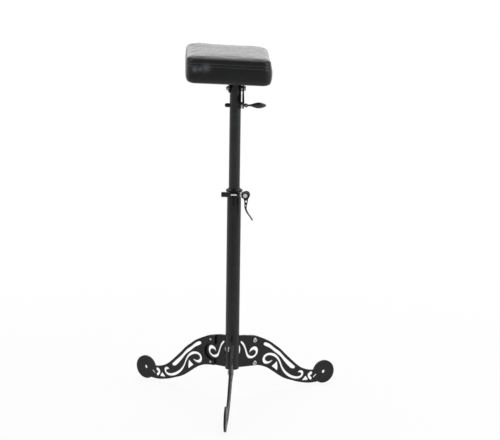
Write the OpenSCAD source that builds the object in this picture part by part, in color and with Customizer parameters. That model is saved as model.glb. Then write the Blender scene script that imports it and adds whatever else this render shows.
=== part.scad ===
// Tripod arm rest stand with a height clamp and a tilting padded head.
// Frame: +Z up, the front leg points along -Y, origin on the floor under the column.

/* [Tripod base] */
// Radius from the column's axis to the middle of each foot
foot_r = 260; // [220:1:320]
// Radius of each round foot
foot_disc_r = 29.4; // [25:0.1:34]
// Radius of the through hole in each foot
foot_hole_r = 4.5; // [3:0.1:6]
// Thickness of a leg plate
leg_t = 5; // [4:0.5:6]
// Thickness of an ear plate
ear_t = 5; // [4:0.5:6]
// Height of the ears' lower edge above the floor
ear_z = 72; // [66:1:90]
// Height of the leg screws' lower row above the ears' lower edge
screw_up = 7; // [7:0.5:9]
// Distance between the two screws of a leg
screw_gap = 58; // [54:1:66]
// Radius from the column's axis to the leg screws
screw_r = 60; // [56:1:64]
// Width of the slots of the scroll pattern
scroll_w = 6.6; // [5:0.1:7.5]

/* [Leg screws] */
// Radius of a leg screw's thread
leg_thread_r = 3; // [2.5:0.1:3.2]
// Radius of a leg screw's pan head
leg_head_r = 6; // [5.5:0.1:6.5]
// Height of a leg screw's pan head
leg_head_h = 3.6; // [2.5:0.1:4.5]

/* [Lower tube] */
// Outer radius of the lower tube
lower_r = 16.85; // [15.5:0.05:18]
// Wall of the lower tube
lower_wall = 2; // [1.6:0.1:2.4]
// Height of the lower tube's top end above the floor
lower_top = 516.5; // [460:0.5:600]
// Width of the clamping slit in the lower tube
slit_w = 3.6; // [2:0.1:5]
// Depth of the clamping slit from the top end
slit_depth = 34; // [28:1:45]

/* [Upper tube] */
// Outer radius of the upper tube
upper_r = 13.45; // [12.5:0.05:14.2]
// Wall of the upper tube
upper_wall = 1.6; // [1.2:0.1:2]
// Height of the hinge's axis above the floor, at rest
hinge_z = 762; // [700:1:860]
// Length of the upper tube
upper_len = 500; // [440:1:520]
// Turn of the mast and head at rest, in degrees
mast_turn = 6; // [-30:1:30]
// How far the upper tube stands above the hinge's axis
upper_over = 12; // [8:0.5:14]

/* [Height clamp] */
// Height of the clamp band
band_h = 15; // [13:0.5:18]
// Wall of the clamp band
band_wall = 2.3; // [1.8:0.1:3]
// Distance from the column's axis to the skewer rod
rod_out = 22.5; // [22:0.1:25]
// Radius of the skewer rod
rod_r = 2.5; // [2:0.1:2.8]
// Clear space between the band's two ears
ear_space = 14.4; // [8:0.1:16]
// Thickness of the band's left ear
left_lug_t = 10; // [8:0.1:12]
// Thickness of the band's right ear
right_lug_t = 7.4; // [5:0.1:9]
// Radius of the adjusting nut
nut_r = 6.2; // [5.5:0.1:7]
// Length of the adjusting nut
nut_len = 12.4; // [9:0.1:15]
// Radius of the cam washer
cam_washer_r = 5.8; // [5:0.1:6]
// Thickness of the cam washer
cam_washer_t = 4.4; // [4:0.1:6.5]
// Radius of the pivot barrel in the clamp lever
barrel_r = 5; // [4.4:0.1:5.2]
// Radius of the clamp lever's cam
cam_r = 7.4; // [6.6:0.1:7.6]
// Throw of the cam between open and closed
cam_throw = 1; // [0.6:0.1:1.2]
// Length of the clamp lever below its pivot
lever_len = 61; // [50:1:75]
// How far the clamp lever's tip flares out past its pivot
lever_flare = 18; // [12:0.5:24]

/* [Tilt head] */
// Drop from the hinge's axis to the clamp bolt
bolt_drop = 40; // [34:0.5:46]
// Tilt of the pad at rest, front edge down, in degrees
rest_tilt = 4; // [-20:1:20]
// Largest tilt of the pad each way, in degrees
tilt_max = 45; // [20:1:50]
// Thickness of the steel of the head's bracket
plate_t = 3; // [2.5:0.1:4]
// Radius of the hinge bolt
hinge_bolt_r = 3; // [2.5:0.1:3.5]
// Radius of the clamp bolt
clamp_bolt_r = 2.5; // [2.2:0.1:3]
// Gap from the friction plate to the sector plate
sector_gap = 3.6; // [3:0.1:5]
// Height of the pad's underside above the hinge's axis
pad_up = 27; // [27:0.5:40]
// Width of the mounting plate, across the pad
mount_w = 110; // [80:1:130]
// Depth of the mounting plate, front to back
mount_d = 80; // [60:1:100]

/* [Tilt lever] */
// Radius of the tilt lever's eye
eye_r = 4.6; // [3.8:0.1:5]
// Length of the thin neck of the tilt lever
neck_len = 3; // [3:0.1:12]
// Radius of the thin neck of the tilt lever
neck_r = 2.2; // [2:0.1:2.6]
// Length of the spindle grip
grip_len = 42; // [28:1:50]
// Largest radius of the spindle grip
grip_r = 7.2; // [6:0.1:7.8]

/* [Pad] */
// Width of the pad, left to right
pad_w = 199; // [170:1:260]
// Depth of the pad, front to back
pad_d = 205; // [170:1:280]
// Height of the pad without its crown
pad_h = 60; // [48:1:70]
// Rise of the pad's crown at its middle
pad_crown = 4; // [2:0.5:8]
// Offset of the pad's middle to the left of the column
pad_off = 20.8; // [10:0.1:22]
// Lean of the pad, right end down, in degrees
pad_lean = 2.3; // [0:0.1:4]
// Thickness of the plywood board in the pad
board_t = 9; // [6:1:12]
// Thickness of the cover with its lining
cover_t = 2; // [1.5:0.1:3]
// Radius of the pad's upright corners
pad_corner_r = 22; // [14:1:28]
// Radius of the pad's upper edge
pad_edge_r = 12.5; // [8:0.5:14]
// Distance from the pad's upper rim down to its seam
seam_drop = 17; // [14:0.5:22]

/* [Hidden] */
$fn = 32;

// Overrun of every cut past the face that it opens
over = 1;
// Radial clearance of a running fit
run_gap = 0.05;
// Clearance between pieces that only pass each other
pass_gap = 0.3;

// Angle of the front leg and between neighbouring legs
front_angle = -90;
leg_step = 360 / 3;
// Numbers of points: along a curve's piece, round a slot's end
curve_n = 3;
cap_n = 6;

// Lower tube: its bore, and the plug in its lower end
lower_bore_r = lower_r - lower_wall;
plug_flange = 3;
plug_edge = 0.9;
plug_depth = 12;
plug_wall = 2;
lower_bottom = ear_z + plug_flange - plug_edge / 3;

// Guide bush on the lower tube's top end: a sleeve, a flange and a cone
bush_depth = 40;
bush_flange_over = 1.4;
bush_flange_r = lower_r + band_wall + run_gap + bush_flange_over;
bush_flange_h = 1.5;
bush_cone_h = 4.5;
bush_lip = 0.9;
bush_slot_w = slit_w / 2;
bush_r = upper_r + run_gap;

// Height clamp: where its band, rod and lugs lie
band_top = lower_top;
band_r = lower_r + run_gap;
rod_z = band_top - band_h * 13 / 30;
lug_h = band_h * 13 / 15;
lug_r = 5;
lug_over = 3.4;
lug_front = rod_out + rod_r + lug_over;
space_mid = 0.9;
band_slot_w = 8;
left_lug_x = space_mid - ear_space / 2;
right_lug_x = space_mid + ear_space / 2;
rod_hole_r = rod_r + pass_gap;
washer_x = right_lug_x + right_lug_t;
cam_gap = pass_gap;
pivot_x = washer_x + cam_washer_t + cam_gap + cam_r + cam_throw;
nut_x = left_lug_x - left_lug_t - cam_gap;
nut_flutes = 10;
nut_flute_r = 1;
nut_floor = 2;
// Clamp lever: its cheeks, slot and arm
cheek_r = 9;
cheek_space = 0.5;
cheek_in = cam_washer_r + cheek_space;
cheek_t = 2.3;
cheek_shift = 1.5;
cheek_nose = 8.8;
lever_slot = rod_r + pass_gap;
arm_half = 6;
arm_tip_half = 4.2;
barrel_half = cheek_in + cheek_t;
barrel_cover = 3;

// Upper tube, the ring that guides its lower end, and its plugs
upper_bore_r = upper_r - upper_wall;
upper_top = hinge_z + upper_over;
upper_bottom = upper_top - upper_len;
ring_h = 16;
ring_r = lower_bore_r - run_gap;
ring_seat = pass_gap;
foot_plug_h = 3;
foot_plug_depth = 14;
bead_h = 1.6;
bead_out = 0.8;
top_plug_h = 2;
top_plug_depth = upper_over - hinge_bolt_r * 5 / 3;

// Friction plate on the tube's right side, with the flat cut for it
friction_t = 3.2;
flat_depth = 3.2;
friction_x = upper_r - flat_depth;
friction_half = 11;
friction_end = 8;
sector_x = friction_x + friction_t + sector_gap;
bolt_z = hinge_z - bolt_drop;

// Clamp bolt, its washers, cap nut and lever
washer_r = 8;
outer_t = 0.5;
cap_r = 5;
cap_len = 11.6;
cap_gap = pass_gap;
cap_bore_len = 8;
bolt_in = 7;
eye_half = 6;
eye_slot = clamp_bolt_r + pass_gap;
eye_gap = 0.05;
eye_throw = 0.4;
eye_x = sector_x + plate_t + outer_t + eye_gap + eye_r;
pin_r = 1.4;
bolt_eye_wall = 1.2;
bolt_eye_r = pin_r + bolt_eye_wall;
grip_x = eye_x + eye_r - neck_r / 2 + neck_len;
grip_bore_r = 1.6;
grip_tang = 14;
// Outline of the spindle grip: shares of its length and of its largest radius
grip_shares = [[0, 0.31], [0.07, 0.34], [0.18, 0.46], [0.29, 0.69], [0.4, 0.88], [0.53, 1],
    [0.66, 0.97], [0.78, 0.83], [0.89, 0.58], [0.97, 0.31], [1, 0]];

// Sector plate, left cheek and mounting plate
sector_rim = 8;
sector_r = bolt_drop + sector_rim;
sector_more = 12;
slot_half = clamp_bolt_r + pass_gap;
hub_r = 10.5;
cheek_x = -upper_r - pass_gap;
cheek_top_half = 22;
sector_top_half = 26;
mount_screw_in = 10;
mount_screw_w = mount_w - mount_screw_in * 2;
mount_screw_d = mount_d - mount_screw_in * 2;
mount_corner = 8;
// Hinge bolt: head, nut and spacer
hinge_head_r = 5.8;
hinge_head_h = 4.4;
hinge_nut_r = 5.8;
hinge_nut_h = 4.2;
hinge_tail = 1.6;
spacer_r = 7;
// Screws of the board
board_screw_r = 2.2;
board_head_r = 4.3;
board_head_h = 2.6;
board_screw_in = 6;

// Pad: the room in its cover, the hem under its board, its seam and its sides
pad_bottom_r = 10.5;
seam_deep = 1;
seam_half = 2;
side_bulge = 1.2;
side_draw = 1.5;
hem_w = 22;
foam_gap = 0.3;
cover_rise = cover_t;
// Numbers of points along a pad side and of rings in its crown: the cover, the foam
cover_n = 4;
foam_n = 2;

// Shapes of the scroll pattern. Each pair is a share of the reach from the leg screws
// to the foot, and a share of the upper screw's height above the floor.
upper_screw_z = ear_z + screw_up + screw_gap;
lower_screw_z = ear_z + screw_up;
leg_reach = foot_r - screw_r;
function leg_pt(s) = [screw_r + s[0] * leg_reach, s[1] * upper_screw_z];
function leg_pts(list) = [for (s = list) leg_pt(s)];
// A scroll's centre line has a third share: of the width of the scroll pattern's slots
function leg_stroke(list) = [for (s = list) concat(leg_pt(s), s[2])];
leg_top_shares = [[-0.065, 1.091], [0, 1.077], [0.05, 1.055], [0.15, 0.989], [0.23, 0.927],
    [0.3, 0.85], [0.375, 0.763], [0.455, 0.642], [0.52, 0.551], [0.59, 0.453],
    [0.665, 0.365], [0.74, 0.31], [0.81, 0.281], [0.86, 0.274], [0.9, 0.28]];
leg_bottom_shares = [[0.93, 0.045], [0.88, 0.036], [0.81, 0.036], [0.76, 0.044], [0.7, 0.062],
    [0.615, 0.095], [0.525, 0.144], [0.45, 0.185], [0.38, 0.243], [0.3, 0.328], [0.24, 0.392],
    [0.19, 0.44], [0.15, 0.467], [0.085, 0.503], [0, 0.522], [-0.055, 0.526]];
long_slot_shares = [[0.155, 0.92], [0.19, 0.905], [0.235, 0.868], [0.3, 0.785],
    [0.375, 0.7], [0.455, 0.57], [0.52, 0.482], [0.575, 0.408], [0.597, 0.372],
    [0.585, 0.35], [0.555, 0.352], [0.52, 0.38], [0.455, 0.478], [0.375, 0.624],
    [0.3, 0.716], [0.235, 0.797], [0.19, 0.835], [0.156, 0.862], [0.139, 0.893]];
scroll_shares = [[0.278, 0.568, 0.35], [0.25, 0.545, 0.75], [0.21, 0.528, 0.95],
    [0.17, 0.541, 1.15], [0.148, 0.595, 1.3], [0.165, 0.658, 1.25], [0.215, 0.687, 1.05],
    [0.28, 0.665, 0.95], [0.336, 0.603, 0.85], [0.374, 0.516, 0.8], [0.402, 0.412, 0.8],
    [0.45, 0.303, 0.9], [0.52, 0.219, 0.95], [0.595, 0.172, 1], [0.655, 0.167, 1.1],
    [0.69, 0.195, 1.2], [0.698, 0.24, 1.2], [0.68, 0.272, 1], [0.652, 0.28, 0.75],
    [0.63, 0.262, 0.4]];
triangle_shares = [[0.323, 0.53], [0.3, 0.498], [0.264, 0.464], [0.264, 0.447],
    [0.3, 0.405], [0.33, 0.362], [0.346, 0.366], [0.347, 0.44], [0.337, 0.52]];
small_triangle_shares = [[0.74, 0.18], [0.715, 0.142], [0.695, 0.112], [0.705, 0.096],
    [0.74, 0.093], [0.775, 0.09], [0.782, 0.104], [0.765, 0.138], [0.752, 0.174]];
comma_shares = [[0.82, 0.25], [0.79, 0.234], [0.772, 0.197], [0.78, 0.142], [0.805, 0.1],
    [0.825, 0.086], [0.842, 0.105], [0.828, 0.14], [0.813, 0.16], [0.825, 0.178],
    [0.843, 0.196], [0.842, 0.228]];
dash_shares = [[0.862, 0.139], [0.892, 0.173]];
notch_mid_shares = [-0.015, 0.774];
notch_r = 21;
tab_in = 13;
// The ears' outline, their swirl and the crescent beside the column, in shares of the
// screws' radius and of the upper screw's height
function ear_pt(s) = [s[0] * screw_r, s[1] * upper_screw_z];
function ear_stroke(list) = [for (s = list) concat(ear_pt(s), s[2])];
ear_shares = [[0.2, 1.12], [0.53, 1.113], [0.8, 1.093], [1, 1.073], [1.16, 1.045],
    [1.3, 0.985], [1.365, 0.89], [1.38, 0.774], [1.365, 0.66], [1.28, 0.565],
    [1.13, 0.527], [0.83, 0.526], [0.2, 0.531]];
swirl_shares = [[0.8, 0.785, 0.55], [0.86, 0.824, 1.15], [0.95, 0.845, 1.35], [1.05, 0.842, 1.35],
    [1.12, 0.803, 1.2], [1.115, 0.745, 1.05], [1.035, 0.703, 1], [0.92, 0.684, 1],
    [0.8, 0.69, 1], [0.7, 0.725, 0.9], [0.637, 0.8, 0.8], [0.585, 0.87, 0.75],
    [0.51, 0.94, 0.8], [0.4, 0.995, 0.65]];
crescent_shares = [[0.2, 0.98], [0.27, 0.972], [0.34, 0.925], [0.38, 0.855], [0.35, 0.785],
    [0.27, 0.735], [0.2, 0.725]];
// Clamp lever's outline: shares of its flare and of its length, from the pivot down
function lever_pt(s) = [s[0] * lever_flare, -s[1] * lever_len];
lever_right_shares = [[0.38, 0.08], [0.34, 0.22], [0.23, 0.4], [0.17, 0.52], [0.25, 0.62],
    [0.47, 0.74], [0.75, 0.86], [0.99, 0.965], [1.03, 1]];
lever_left_shares = [[0.95, 1], [0.79, 0.94], [0.52, 0.82], [0.22, 0.7], [0.02, 0.59],
    [-0.1, 0.47], [-0.12, 0.36], [-0.15, 0.22], [-0.3, 0.08]];
// Windows of the clamp lever: the place of each, and the share of a window's radius
lever_window_shares = [[0.1, 0.245, 1], [0.06, 0.405, 0.7]];
lever_window_r = 2.6;

// Points of a smooth curve through a list, open or closed
function cubic(a, b, c, d, t) =
    b + t * ((c - a) / 2 + t * (a - 5 / 2 * b + 2 * c - d / 2 + t * ((b - c) * 3 + d - a) / 2));
function open_curve(p, n = curve_n) = concat(
    [for (i = [0 : len(p) - 2]) for (k = [0 : n - 1])
        cubic(p[max(i - 1, 0)], p[i], p[i + 1], p[min(i + 2, len(p) - 1)], k / n)],
    [p[len(p) - 1]]);
function closed_curve(p) = [for (i = [0 : len(p) - 1]) for (k = [0 : curve_n - 1])
    cubic(p[(i + len(p) - 1) % len(p)], p[i], p[(i + 1) % len(p)], p[(i + 2) % len(p)],
        k / curve_n)];

// Outline of a slot of width w with round ends along the curve c, whose points can have a
// share of that width as their third number
function heading(c, i) =
    let (d = c[min(i + 1, len(c) - 1)] - c[max(i - 1, 0)]) atan2(d[1], d[0]);
function half_width(p, w) = len(p) > 2 ? w * p[2] / 2 : w / 2;
function side(c, i, a, w) = [c[i][0], c[i][1]]
    + half_width(c[i], w) * [cos(heading(c, i) + a), sin(heading(c, i) + a)];
function ribbon(c, w) = concat(
    [for (i = [0 : len(c) - 1]) side(c, i, 90, w)],
    [for (k = [1 : cap_n - 1]) side(c, len(c) - 1, 90 - 180 * k / cap_n, w)],
    [for (i = [len(c) - 1 : -1 : 0]) side(c, i, -90, w)],
    [for (k = [1 : cap_n - 1]) side(c, 0, -90 - 180 * k / cap_n, w)]);

// A disc or tube from z = a up to z = b
module rod_z(r, a, b) translate([0, 0, a]) cylinder(r = r, h = b - a);
module rod_x(r, a, b) translate([a, 0, 0]) rotate([0, 90, 0]) cylinder(r = r, h = b - a);
module rod_y(r, a, b) translate([0, b, 0]) rotate([90, 0, 0]) cylinder(r = r, h = b - a);
module ring_x(r, hole, a, b) difference() {
    rod_x(r, a, b);
    rod_x(hole, a - over, b + over);
}
// A block from corner a to corner b
module block(a, b) translate(a) cube(b - a);

// Places: a leg's own frame, the mast, the tilting head and the leaning pad
module leg_frame(i) rotate([0, 0, front_angle + i * leg_step]) children();
module upright(t0, t) translate([0, t0 + t, 0]) rotate([90, 0, 0]) linear_extrude(t) children();
module mast() rotate([0, 0, mast_turn]) children();
module head() mast() translate([0, 0, hinge_z]) rotate([rest_tilt, 0, 0]) children();
module pad() translate([-pad_off, 0, pad_up]) rotate([0, pad_lean, 0]) children();
module clamp() translate([0, -rod_out, rod_z]) children();

module leg_cuts() {
    translate(leg_pt(notch_mid_shares)) circle(r = notch_r);
    polygon(closed_curve(leg_pts(long_slot_shares)));
    polygon(ribbon(open_curve(leg_stroke(scroll_shares)), scroll_w));
    polygon(closed_curve(leg_pts(triangle_shares)));
    polygon(closed_curve(leg_pts(small_triangle_shares)));
    polygon(closed_curve(leg_pts(comma_shares)));
    polygon(ribbon(leg_pts(dash_shares), scroll_w * 3 / 4));
}
module leg(i) color("#222326") leg_frame(i) difference() {
    union() {
        upright(ear_t / 2, leg_t) polygon(concat(open_curve(leg_pts(leg_top_shares)),
            [[foot_r, foot_disc_r]], open_curve(leg_pts(leg_bottom_shares))));
        translate([foot_r, 0, foot_disc_r]) rod_y(foot_disc_r, ear_t / 2, ear_t / 2 + leg_t);
    }
    upright(ear_t / 2 - over, leg_t + over * 2) leg_cuts();
    translate([foot_r, 0, foot_disc_r]) rod_y(foot_hole_r, 0, ear_t + leg_t);
    for (z = [lower_screw_z, upper_screw_z])
        translate([screw_r, 0, z]) rod_y(leg_thread_r + run_gap, 0, ear_t + leg_t);
}
module front_leg() leg(0);
module right_leg() leg(1);
module left_leg() leg(2);

module ear(i) color("#242528") leg_frame(i) difference() {
    upright(-ear_t / 2, ear_t) polygon(open_curve([for (s = ear_shares) ear_pt(s)]));
    upright(-ear_t, ear_t * 2) {
        polygon(ribbon(open_curve(ear_stroke(swirl_shares)), scroll_w));
        polygon(open_curve([for (s = crescent_shares) ear_pt(s)]));
    }
    for (z = [lower_screw_z, upper_screw_z])
        translate([screw_r, 0, z]) rod_y(leg_thread_r + run_gap, -ear_t, ear_t);
    rod_z(lower_r, 0, lower_top);
}
module front_ear() ear(0);
module right_ear() ear(1);
module left_ear() ear(2);

module leg_screw() {
    rod_y(leg_thread_r, 0, ear_t + leg_t);
    rotate([90, 0, 0]) difference() {
        rotate_extrude() polygon([[0, 0], [leg_head_r, 0], [leg_head_r, leg_head_h / 2],
            [leg_head_r * 0.9, leg_head_h * 0.8], [leg_head_r * 0.6, leg_head_h],
            [0, leg_head_h]]);
        for (a = [0, 90]) rotate([0, 0, a]) block([-leg_thread_r, -leg_thread_r / 4, leg_head_h / 2],
            [leg_thread_r, leg_thread_r / 4, leg_head_h + over]);
    }
}
module leg_screws(i) color("#c9cbcd") leg_frame(i)
    for (z = [lower_screw_z, upper_screw_z])
        translate([screw_r, -ear_t / 2, z]) leg_screw();
module front_leg_screws() leg_screws(0);
module right_leg_screws() leg_screws(1);
module left_leg_screws() leg_screws(2);

module lower_tube() color("#27282b") difference() {
    rod_z(lower_r, lower_bottom, lower_top);
    rod_z(lower_bore_r, lower_bottom - over, lower_top + over);
    block([-slit_w / 2, -lower_r - over, lower_top - slit_depth + slit_w / 2],
        [slit_w / 2, 0, lower_top + over]);
    translate([0, 0, lower_top - slit_depth + slit_w / 2])
        rod_y(slit_w / 2, -lower_r - over, 0);
}
module lower_end_plug() color("#1b1c1e") rotate_extrude() polygon([
    [0, lower_bottom - plug_flange], [lower_r - plug_edge, lower_bottom - plug_flange],
    [lower_r - plug_edge / 3, lower_bottom - plug_flange + plug_edge / 2],
    [lower_r, lower_bottom - plug_flange + plug_edge], [lower_r, lower_bottom],
    [lower_bore_r, lower_bottom], [lower_bore_r, lower_bottom + plug_depth],
    [lower_bore_r - plug_wall, lower_bottom + plug_depth],
    [lower_bore_r - plug_wall, lower_bottom], [0, lower_bottom]]);

module guide_bush() color("#191a1c") difference() {
    rotate_extrude() polygon([
        [bush_r, lower_top - bush_depth], [lower_bore_r, lower_top - bush_depth],
        [lower_bore_r, lower_top], [bush_flange_r, lower_top],
        [bush_flange_r, lower_top + bush_flange_h],
        [bush_r + bush_lip, lower_top + bush_flange_h + bush_cone_h],
        [bush_r, lower_top + bush_flange_h + bush_cone_h]]);
    block([-bush_slot_w / 2, -bush_flange_r - over, lower_top - bush_depth - over],
        [bush_slot_w / 2, 0, lower_top + over * 6]);
}

module lug(x0, x1) difference() {
    translate([0, 0, rod_z]) {
        block([x0, lug_r - lug_front, -lug_h / 2], [x1, -band_r / 2, lug_h / 2]);
        block([x0, -lug_front, lug_r - lug_h / 2], [x1, -band_r, lug_h / 2 - lug_r]);
        for (z = [lug_r - lug_h / 2, lug_h / 2 - lug_r])
            translate([0, lug_r - lug_front, z]) rod_x(lug_r, x0, x1);
    }
    rod_z(band_r, 0, lower_top + over);
    clamp() rod_x(rod_hole_r, x0 - over, x1 + over);
}
module clamp_band() color("#17181a") {
    difference() {
        rod_z(band_r + band_wall, band_top - band_h, band_top);
        rod_z(band_r, band_top - band_h - over, band_top + over);
        block([space_mid - band_slot_w / 2, -band_r - band_wall - over, band_top - band_h - over],
            [space_mid + band_slot_w / 2, 0, band_top + over]);
    }
    lug(left_lug_x - left_lug_t, left_lug_x);
    lug(right_lug_x, right_lug_x + right_lug_t);
}
module skewer_rod() color("#cfd1d2") clamp()
    rod_x(rod_r, nut_x - nut_len + nut_floor + cam_gap, pivot_x + barrel_r - barrel_cover / 2);
module cam_washer() color("#d6d7d6") clamp()
    ring_x(cam_washer_r, rod_hole_r, washer_x, washer_x + cam_washer_t);
module pivot_barrel() color("#cccccb") clamp() difference() {
    translate([pivot_x, 0, 0]) rod_y(barrel_r - run_gap, -barrel_half, barrel_half);
    rod_x(rod_r, 0, pivot_x + barrel_r - barrel_cover / 2);
}
module adjusting_nut() color("#17181a") clamp() difference() {
    rod_x(nut_r, nut_x - nut_len, nut_x);
    rod_x(rod_r + run_gap, nut_x - nut_len + nut_floor, nut_x + over);
    for (i = [1 : nut_flutes]) rotate([i * 360 / nut_flutes, 0, 0])
        translate([0, 0, nut_r + nut_flute_r / 2])
            rod_x(nut_flute_r, nut_x - nut_len - over, nut_x - nut_len / 4, $fn = 24);
}

module lever_outline() difference() {
    polygon(concat(open_curve([for (s = lever_right_shares) lever_pt(s)]),
        open_curve([for (s = lever_left_shares) lever_pt(s)])));
    for (s = lever_window_shares) translate(lever_pt(s)) circle(r = lever_window_r * s[2]);
}
module clamp_lever() color("#17181a") clamp() translate([pivot_x, 0, 0]) difference() {
    union() {
        translate([-cam_throw, 0, 0]) rod_y(cam_r, -cheek_in, cheek_in);
        for (y = [-cheek_in - cheek_t, cheek_in]) {
            translate([cheek_shift, 0, 0]) rod_y(cheek_r, y, y + cheek_t);
            upright(y, cheek_t) polygon([[0, -cheek_r], [-cheek_nose * 0.8, -cheek_r * 0.7],
                [-cheek_nose, -cheek_r / 2], [-cheek_nose, cheek_r / 2],
                [-cheek_nose * 0.8, cheek_r * 0.7], [0, cheek_r]]);
        }
        intersection() {
            upright(-arm_half, arm_half * 2) lever_outline();
            linear_extrude(lever_len * 4, center = true)
                polygon([[-lever_flare, -arm_half], [cheek_r, -arm_half],
                    [lever_flare * 1.2, -arm_tip_half], [lever_flare * 1.2, arm_tip_half],
                    [cheek_r, arm_half], [-lever_flare, arm_half]]);
        }
    }
    rod_y(barrel_r, -barrel_half - over, barrel_half + over);
    block([-cheek_r * 2, -lever_slot, -lever_slot], [cheek_r * 2, lever_slot, cheek_r * 2]);
}

module glide_ring() color("#2b2c2e") difference() {
    rod_z(ring_r, upper_bottom + ring_seat, upper_bottom + ring_seat + ring_h);
    rod_z(upper_r + run_gap, upper_bottom, upper_bottom + ring_seat + ring_h + over);
}
module upper_end_plug() color("#1b1c1e") difference() {
    rotate_extrude() polygon([
        [0, upper_bottom - foot_plug_h], [ring_r - pass_gap, upper_bottom - foot_plug_h],
        [ring_r - pass_gap, upper_bottom], [upper_bore_r, upper_bottom],
        [upper_bore_r, upper_bottom + foot_plug_depth], [0, upper_bottom + foot_plug_depth]]);
    rod_z(upper_bore_r - plug_wall, upper_bottom, upper_bottom + foot_plug_depth + over);
}
module upper_tube() color("#26272a") mast() difference() {
    union() {
        rod_z(upper_r, upper_bottom, upper_top);
        rod_z(upper_r + bead_out, upper_bottom + ring_seat + ring_h + pass_gap,
            upper_bottom + ring_seat + ring_h + pass_gap + bead_h);
    }
    rod_z(upper_bore_r, upper_bottom - over, upper_top + over);
    block([friction_x, -upper_r, bolt_z - friction_end], [upper_r + over, upper_r, upper_top + over]);
    translate([0, 0, hinge_z]) rod_x(hinge_bolt_r + run_gap, -upper_r - over, upper_r + over);
    translate([0, 0, bolt_z]) rod_x(clamp_bolt_r + run_gap, -upper_r - over, upper_r + over);
}
module upper_top_plug() color("#1b1c1e") mast() difference() {
    rotate_extrude() polygon([
        [0, upper_top - top_plug_depth], [upper_bore_r - bead_out, upper_top - top_plug_depth],
        [upper_bore_r - bead_out, upper_top], [upper_r, upper_top],
        [upper_r - bead_out, upper_top + top_plug_h], [0, upper_top + top_plug_h]]);
    block([friction_x, -upper_r, upper_top - top_plug_depth - over],
        [upper_r + over, upper_r, upper_top + top_plug_h + over]);
    rod_z(upper_bore_r - bead_out - plug_wall, upper_top - top_plug_depth - over, upper_top);
}
module friction_plate() color("#141516") mast() difference() {
    union() {
        for (z = [bolt_z - friction_end + friction_half, upper_top - friction_half])
            translate([0, 0, z]) rod_x(friction_half, friction_x, friction_x + friction_t);
        block([friction_x, -friction_half, bolt_z - friction_end + friction_half],
            [friction_x + friction_t, friction_half, upper_top - friction_half]);
    }
    translate([0, 0, hinge_z]) rod_x(hinge_bolt_r + run_gap, 0, sector_x);
    translate([0, 0, bolt_z]) rod_x(clamp_bolt_r + run_gap, 0, sector_x);
}

module clamp_bolt() color("#3a3b3d") mast() translate([0, 0, bolt_z]) difference() {
    union() {
        rod_x(clamp_bolt_r, -upper_r - cap_gap - bolt_in, eye_x);
        translate([eye_x, 0, 0]) rod_y(bolt_eye_r, -clamp_bolt_r, clamp_bolt_r);
    }
    translate([eye_x, 0, 0]) rod_y(pin_r, -upper_r, upper_r);
}
module inner_washer() color("#9b9d9f") mast() translate([0, 0, bolt_z])
    ring_x(washer_r, clamp_bolt_r + run_gap, friction_x + friction_t, sector_x - eye_gap);
module outer_washer() color("#9b9d9f") mast() translate([0, 0, bolt_z])
    ring_x(washer_r, clamp_bolt_r + run_gap, sector_x + plate_t + eye_gap,
        sector_x + plate_t + outer_t);
module eye_pin() color("#d2d3d3") mast() translate([eye_x, 0, bolt_z])
    rod_y(pin_r - run_gap, -eye_half - eye_throw, eye_half + eye_throw);
module cap_nut() color("#1c1d1f") mast() translate([0, 0, bolt_z]) difference() {
    translate([-upper_r - cap_gap, 0, 0]) rotate([0, -90, 0]) rotate_extrude() polygon(concat(
        [[0, 0], [cap_r, 0], [cap_r, cap_len - cap_r]],
        [for (a = [18 : 18 : 90]) [cap_r * cos(a), cap_len - cap_r + cap_r * sin(a)]]));
    rod_x(clamp_bolt_r + run_gap, -upper_r - cap_gap - cap_bore_len, 0);
}
module tilt_lever() color("#232426") mast() translate([0, 0, bolt_z]) difference() {
    union() {
        translate([eye_x + eye_throw, 0, 0]) rod_y(eye_r - eye_throw / 2, -eye_half, eye_half);
        rod_x(neck_r, eye_x + eye_r / 2, grip_x);
        rod_x(grip_bore_r, grip_x - over, grip_x + grip_tang);
    }
    translate([eye_x, 0, 0]) rod_y(pin_r, -eye_half - over, eye_half + over);
    translate([eye_x, 0, 0]) {
        block([-eye_r * 2, -eye_slot, -eye_r * 2], [eye_slot, eye_slot, eye_slot]);
        rod_y(bolt_eye_r + pass_gap, -eye_slot, eye_slot);
    }
}
module spindle_grip() color("#2c2d30") mast() translate([grip_x, 0, bolt_z]) difference() {
    rotate([0, 90, 0]) rotate_extrude() polygon(concat([[0, 0]],
        open_curve([for (s = grip_shares) [s[1] * grip_r, s[0] * grip_len]], 2)));
    rod_x(grip_bore_r + run_gap, -over, grip_tang + run_gap);
}

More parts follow.
